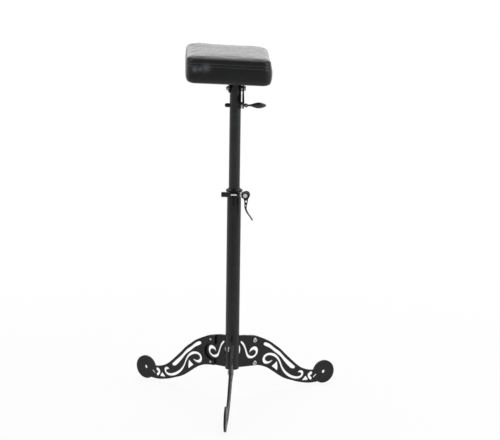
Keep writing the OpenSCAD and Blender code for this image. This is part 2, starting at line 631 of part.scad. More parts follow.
// The two upright plates of the head, cut off at the leaning mounting plate
module under_pad() difference() {
    children();
    pad() block([-pad_w, -pad_d, cover_rise - plate_t], [pad_w, pad_d, pad_h]);
}
module left_cheek() color("#1e1f21") head() under_pad() translate([cheek_x, 0, 0]) difference() {
    rotate([0, -90, 0]) linear_extrude(plate_t) union() {
        circle(r = hub_r);
        polygon([[0, -hub_r], [pad_up / 2, -cheek_top_half], [pad_up * 2, -cheek_top_half],
            [pad_up * 2, cheek_top_half], [pad_up / 2, cheek_top_half], [0, hub_r]]);
    }
    rod_x(hinge_bolt_r + run_gap, -plate_t - over, over);
}
module sector_outline() difference() {
    union() {
        circle(r = hub_r * 1.3);
        intersection() {
            circle(r = sector_r, $fn = 96);
            polygon([[0, 0],
                for (a = [-1 : 0.25 : 1]) 2 * sector_r * [-cos(a * (tilt_max + sector_more)),
                    sin(a * (tilt_max + sector_more))]]);
        }
        polygon([[-hub_r, -hub_r * 1.2], [pad_up / 2, -sector_top_half],
            [pad_up * 2, -sector_top_half], [pad_up * 2, sector_top_half],
            [pad_up / 2, sector_top_half], [-hub_r, hub_r * 1.2]]);
    }
    polygon(ribbon([for (a = [-tilt_max : 3 : tilt_max]) bolt_drop * [-cos(a), sin(a)]],
        slot_half * 2));
    circle(r = hinge_bolt_r + run_gap);
}
module sector_plate() color("#1a1b1d") head() under_pad()
    translate([sector_x + plate_t, 0, 0]) rotate([0, -90, 0]) linear_extrude(plate_t)
        sector_outline();
module hinge_bolt() color("#c9cbcd") head() {
    rod_x(hinge_bolt_r, cheek_x - plate_t - hinge_nut_h - hinge_tail, sector_x + plate_t + over / 2);
    rod_x(hinge_head_r, sector_x + plate_t, sector_x + plate_t + hinge_head_h, $fn = 6);
}
module hinge_nut() color("#c9cbcd") head() difference() {
    rod_x(hinge_nut_r, cheek_x - plate_t - hinge_nut_h, cheek_x - plate_t, $fn = 6);
    rod_x(hinge_bolt_r, cheek_x - upper_r, 0);
}
module hinge_spacer() color("#8d8f91") head()
    ring_x(spacer_r, hinge_bolt_r + run_gap, friction_x + friction_t + run_gap, sector_x);

module mount_places() for (x = [-1, 1]) for (y = [-1, 1])
    translate([x * mount_screw_w / 2, y * mount_screw_d / 2, cover_rise]) children();
module mounting_plate() color("#1c1d1f") head() pad() difference() {
    rounded_slab(mount_w, mount_d, mount_corner, cover_rise - plate_t, cover_rise);
    mount_places() rod_z(board_screw_r + pass_gap, -plate_t - over, over);
}
module board_screws() color("#c9cbcd") head() pad() mount_places() {
    rod_z(board_screw_r, -plate_t, board_screw_in);
    translate([0, 0, -plate_t]) rotate([180, 0, 0]) rotate_extrude() polygon([[0, 0],
        [board_head_r, 0], [board_head_r * 0.9, board_head_h * 0.6],
        [board_head_r * 0.5, board_head_h], [0, board_head_h]]);
}
board_inset = pad_bottom_r + side_draw + pass_gap;
board_corner = pad_corner_r - pad_bottom_r;
module rounded_slab(w, d, r, z0, z1) translate([0, 0, z0]) linear_extrude(z1 - z0) union() {
    square([w - r * 2, d], center = true);
    square([w, d - r * 2], center = true);
    for (x = [-1, 1]) for (y = [-1, 1]) translate([x * (w / 2 - r), y * (d / 2 - r)]) circle(r = r);
}
module board_slab(z0, z1)
    rounded_slab(pad_w - board_inset * 2, pad_d - board_inset * 2, board_corner, z0, z1);
module pad_board() color("#9a7a4e") head() pad() difference() {
    board_slab(cover_rise, cover_rise + board_t);
    mount_places() rod_z(board_screw_r, -over, board_screw_in);
}

// The pad's form: rings of points from its underside over its sides to its crown.
// Each ring has an inset from the full outline and a height.
function arc_steps(n) = [for (i = [0 : n]) 90 * i / n];
function side_rings(less, n) = concat(
    [for (a = arc_steps(n - 1)) [less + (pad_bottom_r - less) * (1 - sin(a)),
        less + (pad_bottom_r - less) * (1 - cos(a))]],
    [[less - side_bulge, (pad_bottom_r + pad_h - seam_drop) / 2],
        [less - side_bulge / 2, pad_h - seam_drop - seam_half * 2],
        [less + seam_deep, pad_h - seam_drop]],
    [for (a = arc_steps(n)) [less + (pad_edge_r - less) * (1 - cos(a)),
        pad_h - pad_edge_r + (pad_edge_r - less) * sin(a)]]);
// One ring: a rounded rectangle whose long sides are drawn in a little at their middles
function ring_share(n) = [for (q = [0 : 3]) for (i = [0 : n]) [q, i / n]];
function corner_pt(q, share, w, d, r) =
    let (sx = (q == 0 || q == 3) ? 1 : -1, sy = (q < 2) ? 1 : -1, a = 90 * (q + share))
    [sx * (w / 2 - r) + r * cos(a), sy * (d / 2 - r) + r * sin(a)];
function drawn(p, w, d) = let (u = p[0] * 2 / w, v = p[1] * 2 / d, k = side_draw)
    [p[0] - k * sign(u) * (1 - v * v) * u * u, p[1] - k * sign(v) * (1 - u * u) * v * v];
function mid_pts(p, q, n) = [for (i = [1 : n]) p + (q - p) * i / (n + 1)];
function ring_2d(w, d, r, n) = let (c = [for (s = ring_share(n)) corner_pt(s[0], s[1], w, d, r)],
    m = n + 1)
    [for (i = [0 : len(c) - 1]) each (i % m == m - 1)
        ? concat([drawn(c[i], w, d)],
            [for (p = mid_pts(c[i], c[(i + 1) % len(c)], n)) drawn(p, w, d)])
        : [drawn(c[i], w, d)]];
function pad_ring(inset, z, n) = [for (p = ring_2d(pad_w - 2 * inset, pad_d - 2 * inset,
    max(pad_corner_r - inset, pad_corner_r / 4), n)) [p[0], p[1], z]];
function crown_ring(less, share, n) = let (in = max(pad_edge_r, less))
    [for (p = pad_ring(in, 0, n)) [p[0] * share, p[1] * share,
        pad_h - less + pad_crown * (1 - share * share)]];
function pad_rings(less, n) = concat([for (r = side_rings(less, n)) pad_ring(r[0], r[1], n)],
    [for (k = [n : -1 : 1]) crown_ring(less, k / (n + 1), n)]);
module pad_form(less, side_n) {
    rings = pad_rings(less, side_n);
    n = len(rings[0]);
    m = len(rings);
    points = concat([for (r = rings) each r], [[0, 0, less], [0, 0, pad_h - less + pad_crown]]);
    polyhedron(points, concat(
        [for (j = [0 : m - 2]) for (i = [0 : n - 1]) each
            [[j * n + i, (j + 1) * n + i, j * n + (i + 1) % n],
            [j * n + (i + 1) % n, (j + 1) * n + i, (j + 1) * n + (i + 1) % n]]],
        [for (i = [0 : n - 1]) [m * n, i, (i + 1) % n]],
        [for (i = [0 : n - 1]) [m * n + 1, (m - 1) * n + (i + 1) % n, (m - 1) * n + i]]));
}
module pad_foam() color("#b9b3a0") head() pad() difference() {
    pad_form(cover_t + foam_gap, foam_n);
    board_slab(0, cover_rise + board_t);
}
module pad_cover() color("#1f2022") head() pad() difference() {
    pad_form(0, cover_n);
    pad_form(cover_t, cover_n);
    block([hem_w - pad_w / 2, hem_w - pad_d / 2, -over],
        [pad_w / 2 - hem_w, pad_d / 2 - hem_w, cover_rise + over]);
}

lower_tube();
lower_end_plug();
front_ear();
right_ear();
left_ear();
front_leg();
right_leg();
left_leg();
front_leg_screws();
right_leg_screws();
left_leg_screws();
guide_bush();
clamp_band();
skewer_rod();
cam_washer();
pivot_barrel();
adjusting_nut();
clamp_lever();
glide_ring();
upper_tube();
upper_end_plug();
upper_top_plug();
friction_plate();
clamp_bolt();
inner_washer();
outer_washer();
eye_pin();
cap_nut();
tilt_lever();
spindle_grip();
mounting_plate();
left_cheek();
sector_plate();
hinge_bolt();
hinge_nut();
hinge_spacer();
board_screws();
pad_board();
pad_foam();
pad_cover();
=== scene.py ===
"""Looks of the arm rest stand: finishes for its metal and plastic, and its sewn cushion."""

import math

import bmesh
import bpy
import numpy as np
from mathutils import Matrix, Vector
from mathutils.bvhtree import BVHTree
from mathutils.noise import noise


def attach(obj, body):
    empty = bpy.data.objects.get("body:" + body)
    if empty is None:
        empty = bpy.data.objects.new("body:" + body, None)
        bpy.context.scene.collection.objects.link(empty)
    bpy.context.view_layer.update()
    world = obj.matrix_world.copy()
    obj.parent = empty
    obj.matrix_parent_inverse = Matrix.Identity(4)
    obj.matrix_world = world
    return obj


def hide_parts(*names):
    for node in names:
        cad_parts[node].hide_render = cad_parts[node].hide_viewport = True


MM = 0.001
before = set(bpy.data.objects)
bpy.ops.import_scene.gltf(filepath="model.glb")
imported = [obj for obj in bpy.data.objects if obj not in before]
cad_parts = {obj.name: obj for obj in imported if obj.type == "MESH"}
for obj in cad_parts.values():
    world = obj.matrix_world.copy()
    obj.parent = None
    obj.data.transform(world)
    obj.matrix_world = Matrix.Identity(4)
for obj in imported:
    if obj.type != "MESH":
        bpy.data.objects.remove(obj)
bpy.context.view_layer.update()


# ---------------------------------------------------------------- shader maths


class Wire:
    """One number on its way through a material; arithmetic on it adds Math nodes."""

    def __init__(self, finish, socket):
        self.finish, self.socket = finish, socket

    def calc(self, operation, *values):
        """What a Math node makes of the values."""
        settings = {"operation": operation}
        node = self.finish.node("ShaderNodeMath", settings, dict(enumerate(values)))
        return Wire(self.finish, node.outputs[0])

    def __add__(self, other):
        return self.calc("ADD", self, other)

    def __sub__(self, other):
        return self.calc("SUBTRACT", self, other)

    def __rsub__(self, other):
        return self.calc("SUBTRACT", other, self)

    def __mul__(self, other):
        return self.calc("MULTIPLY", self, other)

    def __truediv__(self, other):
        return self.calc("DIVIDE", self, other)

    __radd__, __rmul__ = __add__, __mul__

    def sine(self):
        return self.calc("SINE", self)

    def power(self, exponent):
        return self.calc("POWER", self, exponent)

    def bell(self, width):
        """1 where this number is 0, falling to 0 at about twice the width."""
        return self.calc("POWER", math.e, (self / width).power(2) * -1)

    def ramp(self, low, high, to_low=0.0, to_high=1.0):
        """This number mapped from low..high to to_low..to_high, smoothly and clamped."""
        places = {"Value": self, "From Min": low, "From Max": high, "To Min": to_low, "To Max": to_high}
        node = self.finish.node("ShaderNodeMapRange", {"interpolation_type": "SMOOTHSTEP"}, places)
        return Wire(self.finish, node.outputs["Result"])


class Nodes:
    """The nodes of a material or of the room round the scene."""

    def __init__(self, tree):
        self.tree = tree

    def node(self, kind, settings=None, sockets=None):
        """A node of that kind, with its settings made first and then its sockets filled."""
        node = self.tree.nodes.new(kind)
        for name, value in (settings or {}).items():
            setattr(node, name, value)
        for name, value in (sockets or {}).items():
            self.fill(node.inputs[name], value)
        return node

    def fill(self, socket, value):
        """Links a wire or another node's output to a socket, or sets the socket's own value."""
        if isinstance(value, Wire):
            value = value.socket
        if isinstance(value, bpy.types.NodeSocket):
            self.tree.links.new(value, socket)
        else:
            socket.default_value = value

    def seen_by(self, *rays):
        """1 for the kinds of ray named, else 0."""
        path = self.node("ShaderNodeLightPath")
        return sum(Wire(self, path.outputs[ray]) for ray in rays)


class Finish(Nodes):
    """A material and the few nodes that its surface is described with."""

    def __init__(self, name):
        self.material = bpy.data.materials.new(name)
        self.material.use_nodes = True
        super().__init__(self.material.node_tree)
        self.shader = self.tree.nodes["Principled BSDF"]
        self.place = self.node("ShaderNodeTexCoord").outputs["Object"]

    def axes(self):
        """The X, Y and Z places of a point of the piece, in millimetres."""
        node = self.node("ShaderNodeSeparateXYZ", None, {"Vector": self.place})
        return [Wire(self, s) * 1000 for s in node.outputs]

    def grain(self, size, detail=2.0, rough=0.5, stretch=(1, 1, 1)):
        """Cloudy noise from 0 to 1 whose features are about that many millimetres across."""
        scale = [s / (size * MM) for s in stretch]
        mapped = self.node("ShaderNodeMapping", None, {"Vector": self.place, "Scale": scale})
        sockets = {"Vector": mapped.outputs[0], "Scale": 1.0, "Detail": detail, "Roughness": rough}
        return Wire(self, self.node("ShaderNodeTexNoise", None, sockets).outputs["Fac"])

    def cells(self, size, feature="F1"):
        """Distance in cell widths from the nearest cell's middle or edge."""
        sockets = {"Vector": self.place, "Scale": 1 / (size * MM)}
        node = self.node("ShaderNodeTexVoronoi", {"feature": feature}, sockets)
        return Wire(self, node.outputs["Distance"])

    def blend(self, share, first, second):
        """The first colour where share is 0, the second where it is 1; each is a triple or a socket."""
        node = self.node("ShaderNodeMix", {"data_type": "RGBA"})
        by_name = {s.identifier: s for s in node.inputs}
        self.fill(by_name["Factor_Float"], share)
        for name, colour in (("A_Color", first), ("B_Color", second)):
            self.fill(by_name[name], colour if hasattr(colour, "is_linked") else (*colour, 1))
        return [s for s in node.outputs if s.identifier == "Result_Color"][0]

    def relief(self, height, depth):
        """Bumps of that depth in millimetres for a height from 0 to 1."""
        sockets = {"Height": height, "Strength": 1.0, "Distance": depth * MM}
        self.set({"Normal": self.node("ShaderNodeBump", None, sockets).outputs[0]})

    def set(self, values):
        """Fills the named inputs of the surface shader."""
        for name, value in values.items():
            self.fill(self.shader.inputs[name], value)


# ---------------------------------------------------------------- finishes


def powder_coat(name, colour, gloss, shine=0.4, peel=0.02):
    """Black powder coat: orange peel, faint specks and a little paler dust in cloudy patches."""
    f = Finish(name)
    cloud = f.grain(38, 3)
    peel_height = f.grain(1.6, 2, 0.45)
    speck = f.cells(2.6).ramp(0.10, 0.16, 1, 0)
    light = [c * 1.5 + 0.002 for c in colour]
    f.set({"Base Color": f.blend(cloud.ramp(0.35, 0.7) * 0.6 + speck * 0.25, colour, light)})
    f.set({"Roughness": f.grain(6, 3).ramp(0.3, 0.7, gloss - 0.05, gloss + 0.07)})
    f.set({"Specular IOR Level": shine})
    f.relief(peel_height + speck * 0.3, peel)
    return f


def plated(name, colour, rough):
    """Bright zinc or polished steel with fine scratches and a faint stain."""
    f = Finish(name)
    scratches = f.grain(0.5, 2, 0.6, (1, 1, 8))
    stain = f.grain(7, 3)
    f.set({"Metallic": 1.0})
    f.set({"Base Color": f.blend(stain.ramp(0.35, 0.75), colour, [c * 0.86 for c in colour])})
    f.set({"Roughness": scratches.ramp(0.25, 0.75, rough - 0.05, rough + 0.1)})
    f.relief(scratches, 0.006)
    return f


def moulded(name, colour, rough, grain=0.01, shine=0.5):
    """Moulded plastic: a fine even texture and slightly paler worn patches."""
    f = Finish(name)
    f.set({"Base Color": f.blend(f.grain(9, 3).ramp(0.4, 0.8), colour, [c * 1.5 for c in colour])})
    f.set({"Roughness": f.grain(3, 2).ramp(0.3, 0.7, rough - 0.06, rough + 0.06)})
    f.set({"Specular IOR Level": shine})
    f.relief(f.grain(0.5, 2), grain)
    return f


def satin_metal(name, colour, rough):
    """Black oxide or black anodised metal: dark metal with a soft sheen."""
    f = Finish(name)
    worn = f.grain(5, 4, 0.6).ramp(0.5, 0.8)
    f.set({"Metallic": 0.35, "Specular IOR Level": 0.5})
    f.set({"Base Color": f.blend(worn * 0.5, colour, [c * 2.0 for c in colour])})
    f.set({"Roughness": f.grain(1.5, 3).ramp(0.3, 0.7, rough - 0.06, rough + 0.08)})
    f.relief(f.grain(0.7, 2), 0.008)
    return f


def vinyl(name, colour):
    """Upholstery vinyl: leather grain, soft creases, puckers along the two seam rows, and painted
    highlights as paler patches on its front.
    """
    f = Finish(name)
    x, y, z = f.axes()
    pores = f.cells(1.15, "DISTANCE_TO_EDGE").ramp(0.0, 0.16)
    fine = f.grain(0.35, 2)
    crease = f.grain(16, 3, 0.55, (1, 0.45, 1))
    rows = sum((z - height).bell(THREAD_GROOVE) for height in SEAM_ROWS)
    near = (z - sum(SEAM_ROWS) / 2).bell(PUCKER_REACH)
    pucker = f.grain(7, 2, 0.5, (1, 1, 0.35)) * near
    streak = f.grain(26, 2, 0.4, (0.3, 2.2, 1))
    cloud = f.grain(30, 3).ramp(0.35, 0.75)
    # paler patches on the front face only: painted highlights that stand in for lamp reflections on the
    # cover
    highlight_spots = sum((x - across).bell(wide) * (z - up).bell(wide) for across, up, wide in HIGHLIGHT_PATCHES)
    shade = highlight_spots * (0.85 + cloud * 0.35) * (y * -1).ramp(90, 98)
    f.set({"Base Color": f.blend(shade, f.blend(cloud, colour, [c * 1.3 for c in colour]), HIGHLIGHT_TONE)})
    f.set({"Roughness": f.grain(11, 3).ramp(0.3, 0.7, 0.26, 0.32) + (1 - pores) * 0.04})
    f.set({"Specular IOR Level": 0.29})
    # the heights are in millimetres
    f.relief(pores * 0.01 + fine * 0.004 + crease * 0.1 + streak * 0.45 + pucker * 0.5 - rows * 0.3, 1.0)
    return f


def plain_wood(name, colour):
    """Bare plywood: long grain on its faces and thin plies on its edges."""
    f = Finish(name)
    z = f.axes()[2]
    grain = f.grain(2.2, 4, 0.6, (1, 0.06, 1))
    ply = (z * math.pi / PLY).sine().ramp(-0.4, 0.4)
    tone = grain.ramp(0.3, 0.75) * 0.7 + ply * 0.3
    f.set({"Base Color": f.blend(tone, colour, [c * 0.62 for c in colour])})
    f.set({"Roughness": f.grain(4, 2).ramp(0.3, 0.7, 0.6, 0.75)})
    f.relief(grain, 0.08)
    return f


# heights of the seam's two rows, and how far a row's groove and the puckers round it reach
SEAM_ROWS = (46.4, 39.8)
THREAD_GROOVE, PUCKER_REACH = 1.1, 9
# thickness of one ply of the board
PLY = 1.5
# painted highlights, soft paler patches on the cushion's front: place across, height, width, and their
# tone
HIGHLIGHT_PATCHES = ((-52, 38, 8.5), (-78, 33, 6), (-66, 34, 4))
HIGHLIGHT_TONE = (0.095, 0.098, 0.108)

lower_paint = powder_coat("lower_paint", (0.009, 0.009, 0.010), 0.34, 0.3)
upper_paint = powder_coat("upper_paint", (0.014, 0.0145, 0.016), 0.32, 0.35)
leg_paint = powder_coat("leg_paint", (0.006, 0.006, 0.007), 0.42, 0.3, 0.03)
screw_zinc = plated("screw_zinc", (0.46, 0.46, 0.45), 0.30)
clamp_steel = plated("clamp_steel", (0.82, 0.82, 0.82), 0.18)
washer_zinc = plated("washer_zinc", (0.60, 0.60, 0.57), 0.30)
clamp_black = satin_metal("clamp_black", (0.010, 0.010, 0.011), 0.30)
head_steel = satin_metal("head_steel", (0.009, 0.009, 0.010), 0.40)
grip_lacquer = moulded("grip_lacquer", (0.022, 0.022, 0.024), 0.24, 0.004)
bush_nylon = moulded("bush_nylon", (0.006, 0.006, 0.007), 0.36, 0.01, 0.25)
ring_nylon = moulded("ring_nylon", (0.09, 0.09, 0.10), 0.5)
cover_vinyl = vinyl("cover_vinyl", (0.0075, 0.0078, 0.0085))
seam_thread = moulded("seam_thread", (0.10, 0.10, 0.11), 0.5)
board_wood = plain_wood("board_wood", (0.52, 0.37, 0.21))

DRESSED = {
    lower_paint: ["lower_tube"],
    upper_paint: ["upper_tube"],
    leg_paint: ["front_ear", "right_ear", "left_ear", "front_leg", "right_leg", "left_leg"],
    screw_zinc: ["front_leg_screws", "right_leg_screws", "left_leg_screws", "board_screws",
                 "hinge_bolt", "hinge_nut"],
    clamp_steel: ["skewer_rod", "pivot_barrel", "eye_pin"],
    washer_zinc: ["cam_washer", "inner_washer", "outer_washer", "hinge_spacer"],
    clamp_black: ["clamp_band", "adjusting_nut", "clamp_lever", "cap_nut"],
    head_steel: ["friction_plate", "clamp_bolt", "tilt_lever", "mounting_plate", "left_cheek",
                 "sector_plate"],
    grip_lacquer: ["spindle_grip"],
    bush_nylon: ["lower_end_plug", "guide_bush", "upper_end_plug", "upper_top_plug"],
    ring_nylon: ["glide_ring"],
    board_wood: ["pad_board"],
}
# radius of a piece's softened edges, in millimetres, and of the edges of all others
SMALL_EDGE = 0.2
ROUNDED = {"front_leg": 0.45, "right_leg": 0.45, "left_leg": 0.45, "front_ear": 0.45,
           "right_ear": 0.45, "left_ear": 0.45, "clamp_lever": 0.5, "clamp_band": 0.5,
           "adjusting_nut": 0.35, "guide_bush": 0.4, "left_cheek": 0.4, "sector_plate": 0.3,
           "mounting_plate": 0.4, "friction_plate": 0.4, "pad_board": 0.5}


def dress(node, finish):
    """Gives a construction piece its finish, softly rounded edges and smooth round faces."""
    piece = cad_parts[node]
    piece.data.materials.clear()
    piece.data.materials.append(finish.material)
    bpy.context.view_layer.objects.active = piece
    bpy.ops.mesh.customdata_custom_splitnormals_clear()
    piece.data.shade_smooth()
    piece.modifiers.new("weld", "WELD").merge_threshold = 0.01 * MM
    edge = piece.modifiers.new("edge", "BEVEL")
    edge.width = ROUNDED.get(node, SMALL_EDGE) * MM
    edge.segments = 2
    edge.limit_method = "ANGLE"
    edge.angle_limit = math.radians(32)
    piece.modifiers.new("shading", "WEIGHTED_NORMAL").weight = 80


for finish, nodes in DRESSED.items():
    for node in nodes:
        dress(node, finish)


# ---------------------------------------------------------------- cushion

# all sizes are in millimetres, in the cushion's own frame: its underside is at 0
PAD_W, PAD_D, PAD_H = 199, 205, 60
CORNER, TOP_EDGE, BOTTOM_EDGE = 22, 8.5, 9
HEM, BOARD_LOW, START_CROWN = 22, 2, 2.8
# below this height a point counts as underside
UNDERSIDE = 2.5
# the cover starts this much inside its size, and the stuffing moves no point further than PUFF
SLACK, PUFF = 0.2, 1.6
# heights of the rings on the sides, and how far out each ring on the crown lies
SIDE_RINGS = (16, 22, 28, 34, 40, 46)
CROWN_RINGS = (0.92, 0.84, 0.72, 0.58, 0.42, 0.24)
VOXEL = 4
# where the sides start, as a share of the half width, and how far they draw in
SIDE_STARTS, SIDE_DRAW = 0.93, 0.8
# the seam's grooves and the lap between them
SEW_DEPTH, SEW_WIDTH, LAP_RISE, LAP_WIDTH = 0.9, 1.7, 0.35, 2.4
# how uneven the filling is
LEAN_RIGHT, RIGHT_FULL, LEFT_FULL, FRONT_SAG, REAR_RISE = 1.5, 1.9, 1.4, 1.5, 1.2
RIM_RISE, MIDDLE_DROP = 1.7, 0.7
# the soft unevenness of the cover: height, and waves in a metre across, back and up
LUMPS, FOLDS, WAVES_FROM = (0.22, (18, 24, 40)), (0.1, (14, 90, 60)), 10
# one stitch: half length, width and height, its pitch, and how far it stands out
STITCH, PITCH, STANDS_OUT = (1.6, 0.5, 0.4), 4.4, 0.05
# how the cushion sits as shown: turn of the mast, tilt of the head and lean of the pad
MAST_TURN, HEAD_TILT, PAD_LEAN = 6, 4, 2.3
HINGE_Z, PAD_X, PAD_Z = 762, -20.8, 27
pad_frame = (
    Matrix.Rotation(math.radians(MAST_TURN), 4, "Z")
    @ Matrix.Translation((0, 0, HINGE_Z * MM))
    @ Matrix.Rotation(math.radians(HEAD_TILT), 4, "X")
    @ Matrix.Translation((PAD_X * MM, 0, PAD_Z * MM))
    @ Matrix.Rotation(math.radians(PAD_LEAN), 4, "Y")
)


def outline(width, depth, corner, step):
    """Points round a rectangle with round corners, anticlockwise, in millimetres."""
    points = []
    w, d = width / 2 - corner, depth / 2 - corner
    for quarter, (sx, sy) in enumerate(((1, 1), (-1, 1), (-1, -1), (1, -1))):
        for i in range(7):
            a = math.radians(90 * quarter + 15 * i)
            points.append(Vector((sx * w + corner * math.cos(a), sy * d + corner * math.sin(a))))
        run = 2 * (w if quarter % 2 == 0 else d)
        nx, ny = ((-1, 0), (0, -1), (1, 0), (0, 1))[quarter]
        count = round(run / step)
        start = points[-1]
        points += [start + Vector((nx, ny)) * run * i / count for i in range(1, count)]
    return points


def loft(rings, low_cap, high_cap):
    """A closed mesh through rings of points that all have as many points, in metres."""
    mesh = bmesh.new()
    loops = [[mesh.verts.new(p * MM) for p in ring] for ring in rings]
    n = len(rings[0])
    for a, b in zip(loops, loops[1:]):
        for i in range(n):
            mesh.faces.new((a[i], a[(i + 1) % n], b[(i + 1) % n], b[i]))
    for loop, middle, turn in ((loops[0], low_cap, 1), (loops[-1], high_cap, 0)):
        tip = mesh.verts.new(Vector(middle) * MM)
        for i in range(n):
            pair = (loop[(i + 1) % n], loop[i]) if turn else (loop[i], loop[(i + 1) % n])
            mesh.faces.new((*pair, tip))
    return mesh


def cushion_rings():
    """Rings from the underside over the sides to the crown, a little slack for the stuffing."""
    rings = []

    def ring(inset, z):
        flat = outline(PAD_W - 2 * inset, PAD_D - 2 * inset, max(CORNER - inset, 3), 6)
        rings.append([Vector((p.x, p.y, z)) for p in flat])

    for i in range(4):
        a = math.radians(30 * i)
        ring(SLACK + BOTTOM_EDGE * (1 - math.sin(a)), BOTTOM_EDGE * (1 - math.cos(a)))
    for z in SIDE_RINGS:
        ring(SLACK, z)
    for i in range(6):
        a = math.radians(18 * i)
        ring(SLACK + TOP_EDGE * (1 - math.cos(a)), PAD_H - TOP_EDGE + TOP_EDGE * math.sin(a) - SLACK)
    rim = rings[-1]
    for share in CROWN_RINGS:
        rise = START_CROWN * (1 - share**3)
        rings.append([Vector((p.x * share, p.y * share, rim[0].z + rise)) for p in rim])
    return rings


def as_piece(mesh, name, finish, place=None):
    """A finished object in the scene from a bmesh."""
    data = bpy.data.meshes.new(name)
    mesh.to_mesh(data)
    mesh.free()
    piece = bpy.data.objects.new(name, data)
    bpy.context.scene.collection.objects.link(piece)
    data.materials.append(finish.material)
    data.shade_smooth()
    if place:
        piece.matrix_world = place
    return piece


def apply_modifiers(piece):
    """Turns what a piece's modifiers show into its own mesh."""
    bpy.context.view_layer.update()
    shown = piece.evaluated_get(bpy.context.evaluated_depsgraph_get())
    data = bpy.data.meshes.new_from_object(shown)
    piece.modifiers.clear()
    piece.data = data


def spots(piece):
    """The piece's points as rows of numbers, in metres."""
    co = np.empty(len(piece.data.vertices) * 3)
    piece.data.vertices.foreach_get("co", co)
    return co.reshape(-1, 3)


def put(piece, co):
    """Moves the piece's points to those places."""
    piece.data.vertices.foreach_set("co", co.ravel())
    piece.data.update()


def stuff(piece, cap):
    """Blows the cover up round its foam with cloth, no point further than cap millimetres."""
    before = spots(piece)
    held = piece.vertex_groups.new(name="held")
    held.add([i for i, p in enumerate(before) if p[2] < UNDERSIDE * MM], 1.0, "REPLACE")
    cloth = piece.modifiers.new("stuffing", "CLOTH")
    cloth.settings.use_pressure = True
    cloth.settings.uniform_pressure_force = 4
    cloth.settings.vertex_group_mass = "held"
    cloth.settings.effector_weights.gravity = 0
    scene = bpy.context.scene
    for number in range(1, 21):
        scene.frame_set(number)
    shown = piece.evaluated_get(bpy.context.evaluated_depsgraph_get())
    after = np.empty(len(shown.data.vertices) * 3)
    shown.data.vertices.foreach_get("co", after)
    piece.modifiers.clear()
    scene.frame_set(1)
    move = after.reshape(-1, 3) - before
    length = np.linalg.norm(move, axis=1, keepdims=True) + 1e-9
    limit = cap * MM
    put(piece, before + move / length * limit * np.tanh(length / limit))


tip = (0, 0, PAD_H + START_CROWN - SLACK)
cushion = as_piece(loft(cushion_rings(), (0, 0, 0), tip), "cushion", cover_vinyl)
voxels = cushion.modifiers.new("even", "REMESH")
voxels.mode = "VOXEL"
voxels.voxel_size = VOXEL * MM
apply_modifiers(cushion)
stuff(cushion, PUFF)
finer = cushion.modifiers.new("finer", "SUBSURF")
finer.levels = finer.render_levels = 1
apply_modifiers(cushion)
cushion.data.shade_smooth()


def hump(value, middle, width):
    """1 at the middle, falling to 0 at about twice the width from it."""
    return np.exp(-(((value - middle) / width) ** 2))


def between(value, start, end):
    """0 up to the start and 1 from the end on."""
    return np.clip((value - start) / (end - start), 0, 1)


def shape_cover(co):
    """Draws in the sides, flattens the underside, sews the seam and makes the filling uneven."""
    x, y, z = (co / MM).T
    # how far out a point lies: 1 on the cushion's side
    u, v = np.abs(x) * 2 / PAD_W, np.abs(y) * 2 / PAD_D
    face_x = (u > SIDE_STARTS) & (u > v)
    face_y = (v > SIDE_STARTS) & ~face_x
    corner = ~face_x & ~face_y
    # the sides pull in between the corners
    x = x - np.where(u > 0.5, np.sign(x) * SIDE_DRAW * np.clip(1 - v**2, 0, 1) * u**4, 0)
    y = y - np.where(v > 0.5, np.sign(y) * SIDE_DRAW * np.clip(1 - u**2, 0, 1) * v**4, 0)
    # each row of stitches is a groove, and the lap between them stands up a little
    on_side = between(z, 2, 7) * between(z, PAD_H - 6, PAD_H - 12)
    sewn = sum(hump(z, row, SEW_WIDTH) for row in SEAM_ROWS)
    lap = hump(z, sum(SEAM_ROWS) / 2, LAP_WIDTH)
    inward = (sewn * SEW_DEPTH - lap * LAP_RISE) * on_side
    reach = np.maximum(np.hypot(x, y), 1)
    x = x - np.where(face_x, np.sign(x) * inward, 0) - np.where(corner, x / reach * inward, 0)
    y = y - np.where(face_y, np.sign(y) * inward, 0) - np.where(corner, y / reach * inward, 0)
    # the underside lies on the board's rim, and stops at the hem's edge
    inside = (np.abs(x) < PAD_W / 2 - HEM) & (np.abs(y) < PAD_D / 2 - HEM)
    z = np.where(z < UNDERSIDE, np.where(inside, BOARD_LOW + 1.5, np.maximum(z, 0)), z)
    # the filling isn't even: it sags to the right and along the front, and is full behind
    lean = between(z, PAD_H, 0)
    right_side = np.where(x > 0, u**4, 0) * hump(z, 26, 15)
    left_rim = np.where(x < 0, u**4, 0) * hump(z, 50, 12)
    sag = np.clip(0.6 - x / PAD_W, 0, 1) * np.clip(-y / PAD_D * 2, 0, 1) * ~inside
    rear = (hump(x, -25, 90) - between(x, 0, 90) ** 2) * between(y, 36, 96)
    x = x + lean * LEAN_RIGHT + right_side * RIGHT_FULL - left_rim * LEFT_FULL
    z = z - sag * between(z, 16, 0) * FRONT_SAG + rear * between(z, 40, 60) * REAR_RISE
    # the top is nearly flat out to its rim, and lower at the corners
    spread = np.maximum(u, v)
    rim = hump(spread, 0.87, 0.09) * RIM_RISE - hump(spread, 0, 0.6) * MIDDLE_DROP
    z = z + rim * (1 - (u * v) ** 3 * 1.7) * between(z, 50, 56)
    return np.stack((x, y, z), axis=1) * MM


def wrinkle_cover(co):
    """Gives the sides and the top their soft lumps and the shallow folds along the front."""
    for i, (x, y, z) in enumerate(co):
        if z > WAVES_FROM * MM:
            soft = sum(noise((x * a, y * b, z * c)) * height for height, (a, b, c) in (LUMPS, FOLDS))
            out = Vector((x / PAD_W, y / PAD_D, (z - PAD_H / 2 * MM) / PAD_H)).normalized()
            co[i] += np.array(out) * soft * MM
    return co


put(cushion, shape_cover(spots(cushion)))
put(cushion, wrinkle_cover(spots(cushion)))
cushion.matrix_world = pad_frame
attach(cushion, "head")
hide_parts("pad_cover", "pad_foam")


